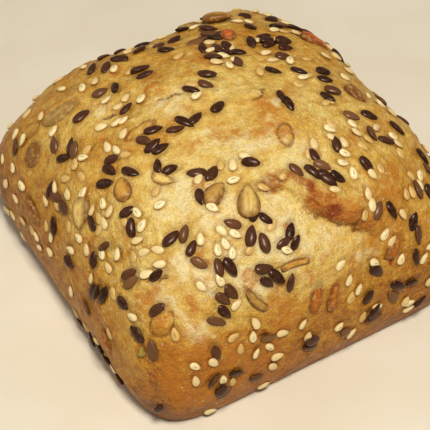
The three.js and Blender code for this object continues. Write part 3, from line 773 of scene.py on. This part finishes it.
def crust_masks(x, y, points):
    """Where the crust is browned, flushed orange, pale, scorched, singed red or torn, each 0 to 1."""
    ragged = (x + unevenness(points, STAIN_RAGGED, 110),
              y + unevenness(points, STAIN_RAGGED, 120))
    offset, share = ragged_path(*TEAR_LINE, x, y, points)
    bands = {name: openness(share)*swell(offset, *band)*smoothstep(share, *start)
             for name, (band, start) in TEAR_BANDS.items()}
    gaps = openness(share)*swell(offset, *STRAND_BAND, STRAND_TONE)*(1 - tear_strands(offset, points))
    offset, share = ragged_path(*EDGE_LINE, x, y, points)
    for name, band in EDGE_BANDS.items():
        bands[name] = np.maximum(bands[name], openness(share)*swell(offset, *band))

    length, *levels = BLUSH
    blush = smoothstep(waves(points, length, 150), *levels)
    pale = spots(*ragged, PALE)
    widening, strength = CREASE_PALE
    for path, spread, _ in CREASES:
        offset, share = along_path(path, *ragged)
        pale = np.maximum(pale, strength*np.sin(math.pi*share)*swell(offset, 0, widening*spread))
    pale *= 1 - FLUSH_OVER_PALE*bands["flushed"]
    return {
        "browned": browning(x, y, points),
        "flushed": np.maximum.reduce([spots(*ragged, FLUSHED), bands["flushed"], blush]),
        "pale": np.maximum(pale, LINE_PALE*soft_lines(*ragged, PALE_LINES)),
        "scorched": np.maximum(bands["scorched"], soft_lines(*ragged, STREAKS))*(1 - gaps),
        "singed": spots(x, y, SINGED),
        # torn edges and cracks: dark crumb with painted shade
        "torn": np.maximum.reduce([bands["torn"], *crack_shares(x, y, points)]),
    }


def crust_piece(seeds, material):
    """The crust as a fine grid over the chart, closed by a flat base."""
    steps = np.linspace(-CHART_BASE, CHART_BASE, CRUST_STEPS + 1)
    x, y = (grid.ravel() for grid in np.meshgrid(steps, steps, indexing="ij"))
    smooth = chart_points(x, y)
    normals = chart_normals(x, y)
    relief = broad_relief(x, y) + fine_relief(x, y)
    moat_and_shade, outlines_and_shade, lumps = seed_marks(smooth + normals*relief[:, None], seeds)
    top = smooth + normals*(relief + lumps - SEED_MOAT*(moat_and_shade + outlines_and_shade))[:, None]
    # The edge of the base joins the outlines: a browner edge with a painted contact shadow
    outlines_and_shade = np.maximum(outlines_and_shade, smoothstep(chart_level(x, y), *BASE_EDGE))

    index = np.arange(len(top)).reshape(len(steps), len(steps))
    corners = [index[:-1, :-1], index[1:, :-1], index[1:, 1:], index[:-1, 1:]]
    faces = np.stack(corners, axis=-1).reshape(-1, 4).tolist()
    edge = np.concatenate([index[:-1, 0], index[-1, :-1], index[:0:-1, -1], index[0, :0:-1]])
    top[edge, 2] = 0

    inward = 1 - np.arange(1, BASE_RINGS)/BASE_RINGS
    base = (inward[:, None, None]*top[edge]).reshape(-1, 3)
    length, depth = BASE_PITS
    base[:, 2] = depth*np.maximum(waves(base, length, 160), 0)
    points = np.vstack([top, base, [(0, 0, 0)]])
    middle = len(points) - 1
    rings = [edge, *np.arange(len(top), middle).reshape(-1, len(edge))]
    for outer, inner in zip(rings[:-1], rings[1:]):
        faces += np.stack([outer, inner, np.roll(inner, -1), np.roll(outer, -1)], axis=-1).tolist()
    last = rings[-1]
    faces += [(int(a), middle, int(b)) for a, b in zip(last, np.roll(last, -1))]

    made = mesh_object("crust", points, faces, material)
    below = len(points) - len(top)
    for name, values in crust_masks(x, y, smooth).items():
        attach(made, name, "FLOAT", np.concatenate([values, np.full(below, values[edge].mean())]))
    for name, values in (("seed_shade", moat_and_shade), ("outline", outlines_and_shade)):
        attach(made, name, "FLOAT", np.concatenate([values, np.zeros(below)]))
    return made


# Materials

def colour(red, green, blue):
    """A colour given as 0 to 255, as the shader takes it."""
    shares = np.array([red, green, blue])/255
    return (*np.where(shares <= 0.04045, shares/12.92, ((shares + 0.055)/1.055)**2.4), 1.0)


def new_material(name):
    material = bpy.data.materials.new(name)
    material.use_nodes = True
    return material, material.node_tree, material.node_tree.nodes["Principled BSDF"]


def connect(tree, node, inputs):
    """Gives a node its inputs, as values or as sockets to link."""
    for name, value in inputs.items():
        if isinstance(value, bpy.types.NodeSocket):
            tree.links.new(value, node.inputs[name])
        else:
            node.inputs[name].default_value = value


def add(tree, kind, inputs, **settings):
    """A node with its settings and inputs."""
    made = tree.nodes.new(kind)
    for name, value in settings.items():
        setattr(made, name, value)
    connect(tree, made, inputs)
    return made


def value_of(tree, name, output="Fac"):
    return add(tree, "ShaderNodeAttribute", {}, attribute_name=name).outputs[output]


def body_place(tree):
    """The place on a seed's body in its own half sizes: across, along and up."""
    return add(tree, "ShaderNodeSeparateXYZ", {"Vector": value_of(tree, "body", "Vector")}).outputs


def noise(tree, size, detail=2.0, roughness=0.5, stretch=(1, 1, 1), heading=0):
    """Noise with features of a size in mm, longer along an axis where stretch is below 1, and turned."""
    place = tree.nodes.new("ShaderNodeTexCoord").outputs["Object"]
    if heading:
        inputs = {"Vector": place, "Angle": -math.radians(heading)}
        place = add(tree, "ShaderNodeVectorRotate", inputs, rotation_type="Z_AXIS").outputs[0]
    place = add(tree, "ShaderNodeVectorMath", {0: place, 1: stretch}, operation="MULTIPLY").outputs[0]
    inputs = {"Vector": place, "Scale": 1/(size*MM), "Detail": detail, "Roughness": roughness}
    return add(tree, "ShaderNodeTexNoise", inputs).outputs["Fac"]


def calculate(tree, operation, *values):
    return add(tree, "ShaderNodeMath", dict(enumerate(values)), operation=operation).outputs[0]


def times(tree, first, second):
    return calculate(tree, "MULTIPLY", first, second)


def ramp(tree, value, low, high, start=0.0, end=1.0):
    inputs = {"Value": value, "From Min": low, "From Max": high, "To Min": start, "To Max": end}
    return add(tree, "ShaderNodeMapRange", inputs, interpolation_type="SMOOTHSTEP").outputs[0]


def mix(tree, share, tone, stain):
    """A tone with a share of a colour given as 0 to 255."""
    inputs = {0: share, 6: tone, 7: colour(*stain)}
    return add(tree, "ShaderNodeMix", inputs, data_type="RGBA").outputs[2]


def colour_ramp(tree, value, stops):
    made = add(tree, "ShaderNodeValToRGB", {"Fac": value})
    elements = made.color_ramp.elements
    while len(elements) < len(stops):
        elements.new(0.5)
    for element, (position, tone) in zip(elements, stops):
        element.position = position
        element.color = colour(*tone)
    return made.outputs["Color"]


def bump(tree, height, strength, distance, normal=None):
    inputs = {"Height": height, "Strength": strength, "Distance": distance*MM}
    if normal:
        inputs["Normal"] = normal
    return add(tree, "ShaderNodeBump", inputs).outputs["Normal"]


def masked(tree, name, size, ragged, strength):
    """A mask of the crust with an edge made ragged by noise with features of a size in mm."""
    along_tear = (TEAR_STRETCH, TEAR_HEADING) if name in TEAR_TONES else ()
    grain = ramp(tree, noise(tree, size, 4.0, 0.6, *along_tear), 0.0, 1.0, 1 - ragged, 1 + ragged)
    value = times(tree, value_of(tree, name), grain)
    return ramp(tree, value, 0.1, 0.85, 0.0, strength)


def crust_material():
    material, tree, shader = new_material("baked_crust")
    browned = value_of(tree, "browned")
    baking = browned
    for size, strength in CRUST_MOTTLING:
        grain = calculate(tree, "SUBTRACT", noise(tree, size, 3.0, 0.6), 0.5)
        baking = calculate(tree, "MULTIPLY_ADD", grain, strength, baking)
    tone = colour_ramp(tree, baking, CRUST_BAKING)
    # pale flecks and painted glints on the paler crust
    flecks_and_glints = ramp(tree, noise(tree, 0.8, 3.0, 0.6), 0.52, 0.7, 0.0, 0.5)
    flecks_and_glints = times(tree, flecks_and_glints, ramp(tree, browned, 0.7, 0.3))
    tone = mix(tree, flecks_and_glints, tone, (244, 226, 164))
    freckles = ramp(tree, noise(tree, 1.5, 3.0, 0.6), 0.56, 0.7, 0.0, 0.35)
    tone = mix(tree, freckles, tone, (176, 114, 38))
    for name, size, ragged, strength, stain in CRUST_TONES:
        tone = mix(tree, masked(tree, name, size, ragged, strength), tone, stain)
    away = calculate(tree, "ABSOLUTE", calculate(tree, "SUBTRACT", noise(tree, 2.2, 3.0, 0.6), 0.5))
    crackle = ramp(tree, away, 0.03, 0.0)
    tone = mix(tree, times(tree, crackle, 0.3), tone, (176, 122, 48))
    pores = ramp(tree, noise(tree, 0.5), 0.4, 0.28, 0.0, 0.35)
    tone = mix(tree, pores, tone, (140, 92, 38))
    # painted glints: tiny bright specks for the shine of the crust
    painted_glints = ramp(tree, noise(tree, 0.5, stretch=(0.9, 0.9, 1.3)), 0.66, 0.74, 0.0, 0.55)
    tone = mix(tree, painted_glints, tone, (255, 246, 216))
    # painted shade on the crust beside each seed
    tone = mix(tree, times(tree, value_of(tree, "seed_shade"), 0.4), tone, (132, 84, 34))
    # a browner line with painted shade around outlined kernels and along the edge of the base
    tone = mix(tree, masked(tree, "outline", 1.2, 1.0, 0.65), tone, (124, 62, 12))
    skin = bump(tree, noise(tree, 1.4, 4.0, 0.65), 0.9, 0.9)
    wrinkles = times(tree, noise(tree, 1.6, 3.0, 0.6, (0.7, 0.7, 1.3)), browned)
    skin = bump(tree, wrinkles, 0.6, 0.5, skin)
    skin = bump(tree, crackle, -0.5, 0.3, skin)
    fibres = noise(tree, 0.8, 3.0, 0.6, TEAR_STRETCH, TEAR_HEADING)
    skin = bump(tree, times(tree, fibres, value_of(tree, "scorched")), 0.8, 0.8, skin)
    connect(tree, shader, {
        "Base Color": tone, "Roughness": ramp(tree, noise(tree, 3.0, 3.0), 0.3, 0.7, 0.36, 0.56),
        "Specular IOR Level": 0.32, "Specular Tint": (1.0, 0.9, 0.74, 1.0), "Subsurface Weight": 0.1,
        "Subsurface Radius": (1.0, 0.5, 0.2), "Subsurface Scale": 0.6*MM,
        "Normal": bump(tree, noise(tree, 0.4), 0.8, 0.3, skin),
    })
    return material


def flax_material():
    material, tree, shader = new_material("flax_coat")
    tone = colour_ramp(tree, value_of(tree, "chance"), FLAX_TONES)
    tone = mix(tree, ramp(tree, noise(tree, 0.8, 3.0), 0.4, 0.8, 0.0, 0.45), tone, (108, 72, 48))
    up = body_place(tree)[2]
    # painted shade: darker down the sides of each seed towards the crust
    tone = mix(tree, ramp(tree, up, 0.3, 0.0, 0.0, 0.4), tone, (34, 20, 12))
    connect(tree, shader, {
        "Base Color": tone, "Roughness": ramp(tree, noise(tree, 0.6), 0.3, 0.7, 0.2, 0.32),
        "Specular IOR Level": 0.22, "Specular Tint": (1.0, 0.84, 0.72, 1.0),
        "Normal": bump(tree, noise(tree, 0.25), 0.2, 0.05),
    })
    return material


def sesame_material():
    material, tree, shader = new_material("sesame_coat")
    chance = value_of(tree, "chance")
    across, along, up = body_place(tree)
    tint = value_of(tree, "tint", "Color")
    tone = mix(tree, ramp(tree, chance, 0.3, 1.0, 0.0, 0.5), tint, (206, 164, 88))
    # painted shade: darker down the sides of each seed
    tone = mix(tree, ramp(tree, up, 0.75, 0.1, 0.0, 0.55), tone, (196, 150, 74))
    squares = []
    for part, half in zip((across, along), SESAME_SLIT):
        share = calculate(tree, "DIVIDE", part, half)
        squares.append(times(tree, share, share))
    slit = ramp(tree, calculate(tree, "ADD", *squares), 1.2, 0.4)
    marked = ramp(tree, chance, 0.42, 0.5, 1.0, 0.0)
    upper = ramp(tree, up, 0.0, 0.3, 0.0, 0.7)
    mark = times(tree, times(tree, slit, marked), upper)
    tone = mix(tree, mark, tone, (138, 96, 48))
    tone = mix(tree, ramp(tree, noise(tree, 0.7, 3.0), 0.4, 0.8, 0.0, 0.35), tone, (206, 164, 92))
    connect(tree, shader, {
        "Base Color": tone, "Roughness": ramp(tree, noise(tree, 0.5), 0.3, 0.7, 0.35, 0.5),
        "Subsurface Weight": 0.15, "Subsurface Radius": (1.0, 0.7, 0.35), "Subsurface Scale": 0.5*MM,
        "Normal": bump(tree, noise(tree, 0.3), 0.2, 0.06),
    })
    return material


def kernel_material(name, rim_colour, rim_share):
    material, tree, shader = new_material(name)
    tone = value_of(tree, "tint", "Color")
    across, along, up = body_place(tree)
    place = add(tree, "ShaderNodeCombineXYZ", {
        "X": times(tree, across, 2.0), "Y": along,
        "Z": times(tree, value_of(tree, "chance"), 40.0)}).outputs[0]
    streaks = add(tree, "ShaderNodeTexNoise", {"Vector": place, "Scale": 1.8, "Detail": 4.0}).outputs["Fac"]
    tone = mix(tree, ramp(tree, streaks, 0.42, 0.7, 0.0, 0.45), tone, (128, 80, 34))
    # browner sides and tips: toasting, with painted shade down the sides and at the ends
    sideways = calculate(tree, "ABSOLUTE", across)
    both = calculate(tree, "ADD", sideways, calculate(tree, "MAXIMUM", up, 0.01))
    edge = ramp(tree, calculate(tree, "DIVIDE", sideways, both), 0.2, 0.62)
    tip = ramp(tree, calculate(tree, "ABSOLUTE", along), 0.5, 0.95, 0.0, 0.8)
    toasted_and_shaded = times(tree, calculate(tree, "MAXIMUM", edge, tip), rim_share)
    tone = mix(tree, toasted_and_shaded, tone, rim_colour)
    tone = mix(tree, ramp(tree, noise(tree, 1.0, 3.0), 0.45, 0.75, 0.0, 0.45), tone, (222, 182, 106))
    connect(tree, shader, {
        "Base Color": tone, "Roughness": ramp(tree, noise(tree, 1.0), 0.3, 0.7, 0.32, 0.5),
        "Specular IOR Level": 0.3, "Specular Tint": (1.0, 0.88, 0.7, 1.0), "Subsurface Weight": 0.15,
        "Subsurface Radius": (1.0, 0.6, 0.25), "Subsurface Scale": 0.8*MM,
        "Normal": bump(tree, streaks, 0.5, 0.3),
    })
    return material


def floor_material():
    material, tree, shader = new_material("pale_floor")
    patches = ramp(tree, noise(tree, 40.0, 3.0), 0.3, 0.7)
    tone = mix(tree, patches, colour(227, 215, 190), (234, 224, 201))
    connect(tree, shader, {"Base Color": tone, "Roughness": 0.7})
    return material


# Pieces
seeds = all_seeds()


def seeds_of(*forms):
    return [seed for seed in seeds if seed.form in forms]


crust = crust_piece(seeds, crust_material())
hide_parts("roll")
flax = seed_piece("flax_seeds", seeds_of("flax"), flax_material())
sesame = seed_piece("sesame_seeds", seeds_of("sesame"), sesame_material(), SESAME_TINTS)
sunflower = seed_piece("sunflower_kernels", seeds_of("drop", "rod", "broken"),
                       kernel_material("sunflower_kernel", (112, 66, 28), 0.85), KERNEL_TINTS)
pumpkin = seed_piece("pumpkin_seeds", seeds_of("pumpkin"),
                     kernel_material("pumpkin_seed", (112, 86, 42), 0.5), KERNEL_TINTS)
for piece in (crust, flax, sesame, sunflower, pumpkin):
    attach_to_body(piece, "root")

# Floor
floor_corners = np.array([(-1, -1, 0), (1, -1, 0), (1, 1, 0), (-1, 1, 0)])*0.5*FLOOR_SIDE
floor = mesh_object("floor", floor_corners, [(0, 1, 2, 3)], floor_material())
floor.location.z = -FLOOR_DROP*MM

# Camera
azimuth = math.radians(CAMERA_AZIMUTH)
elevation = math.radians(CAMERA_ELEVATION)
view_back = Vector((math.sin(azimuth)*math.cos(elevation), -math.cos(azimuth)*math.cos(elevation),
                    math.sin(elevation)))
view_right = Vector((math.cos(azimuth), math.sin(azimuth), 0))
view_up = view_back.cross(view_right)
target = Vector(CAMERA_TARGET)*MM
pixel = CAMERA_DISTANCE*MM/FOCAL_PIXELS
shift_right = (TARGET_PIXEL[0] - 0.5*PHOTO_SIDE)*pixel
shift_down = (TARGET_PIXEL[1] - 0.5*PHOTO_SIDE)*pixel
aim = target - view_right*shift_right + view_up*shift_down


def turned(place, towards):
    """The turn of a camera or a light at a place that looks towards another."""
    return (towards - place).to_track_quat("-Z", "Y").to_euler()


camera_data = bpy.data.cameras.new("camera")
camera_data.sensor_width = SENSOR
camera_data.lens = SENSOR*FOCAL_PIXELS/PHOTO_SIDE
camera = new_object("camera", camera_data)
camera.location = target + view_back*CAMERA_DISTANCE*MM
camera.rotation_euler = turned(camera.location, aim)
bpy.context.scene.camera = camera

# Lights
for name, (back, right, up), size, power, tone in LIGHTS:
    data = bpy.data.lights.new(name, "AREA")
    data.shape = "DISK"
    data.size = size*MM
    data.energy = power
    data.color = tone
    light = new_object(name, data)
    light.location = target + (view_back*back + view_right*right + view_up*up)*MM
    light.rotation_euler = turned(light.location, target)

world = bpy.data.worlds.new("studio")
world.use_nodes = True
background = world.node_tree.nodes["Background"]
connect(world.node_tree, background, {"Color": WORLD_TONE, "Strength": WORLD_STRENGTH})
bpy.context.scene.world = world
bpy.context.scene.view_settings.view_transform = "Standard"
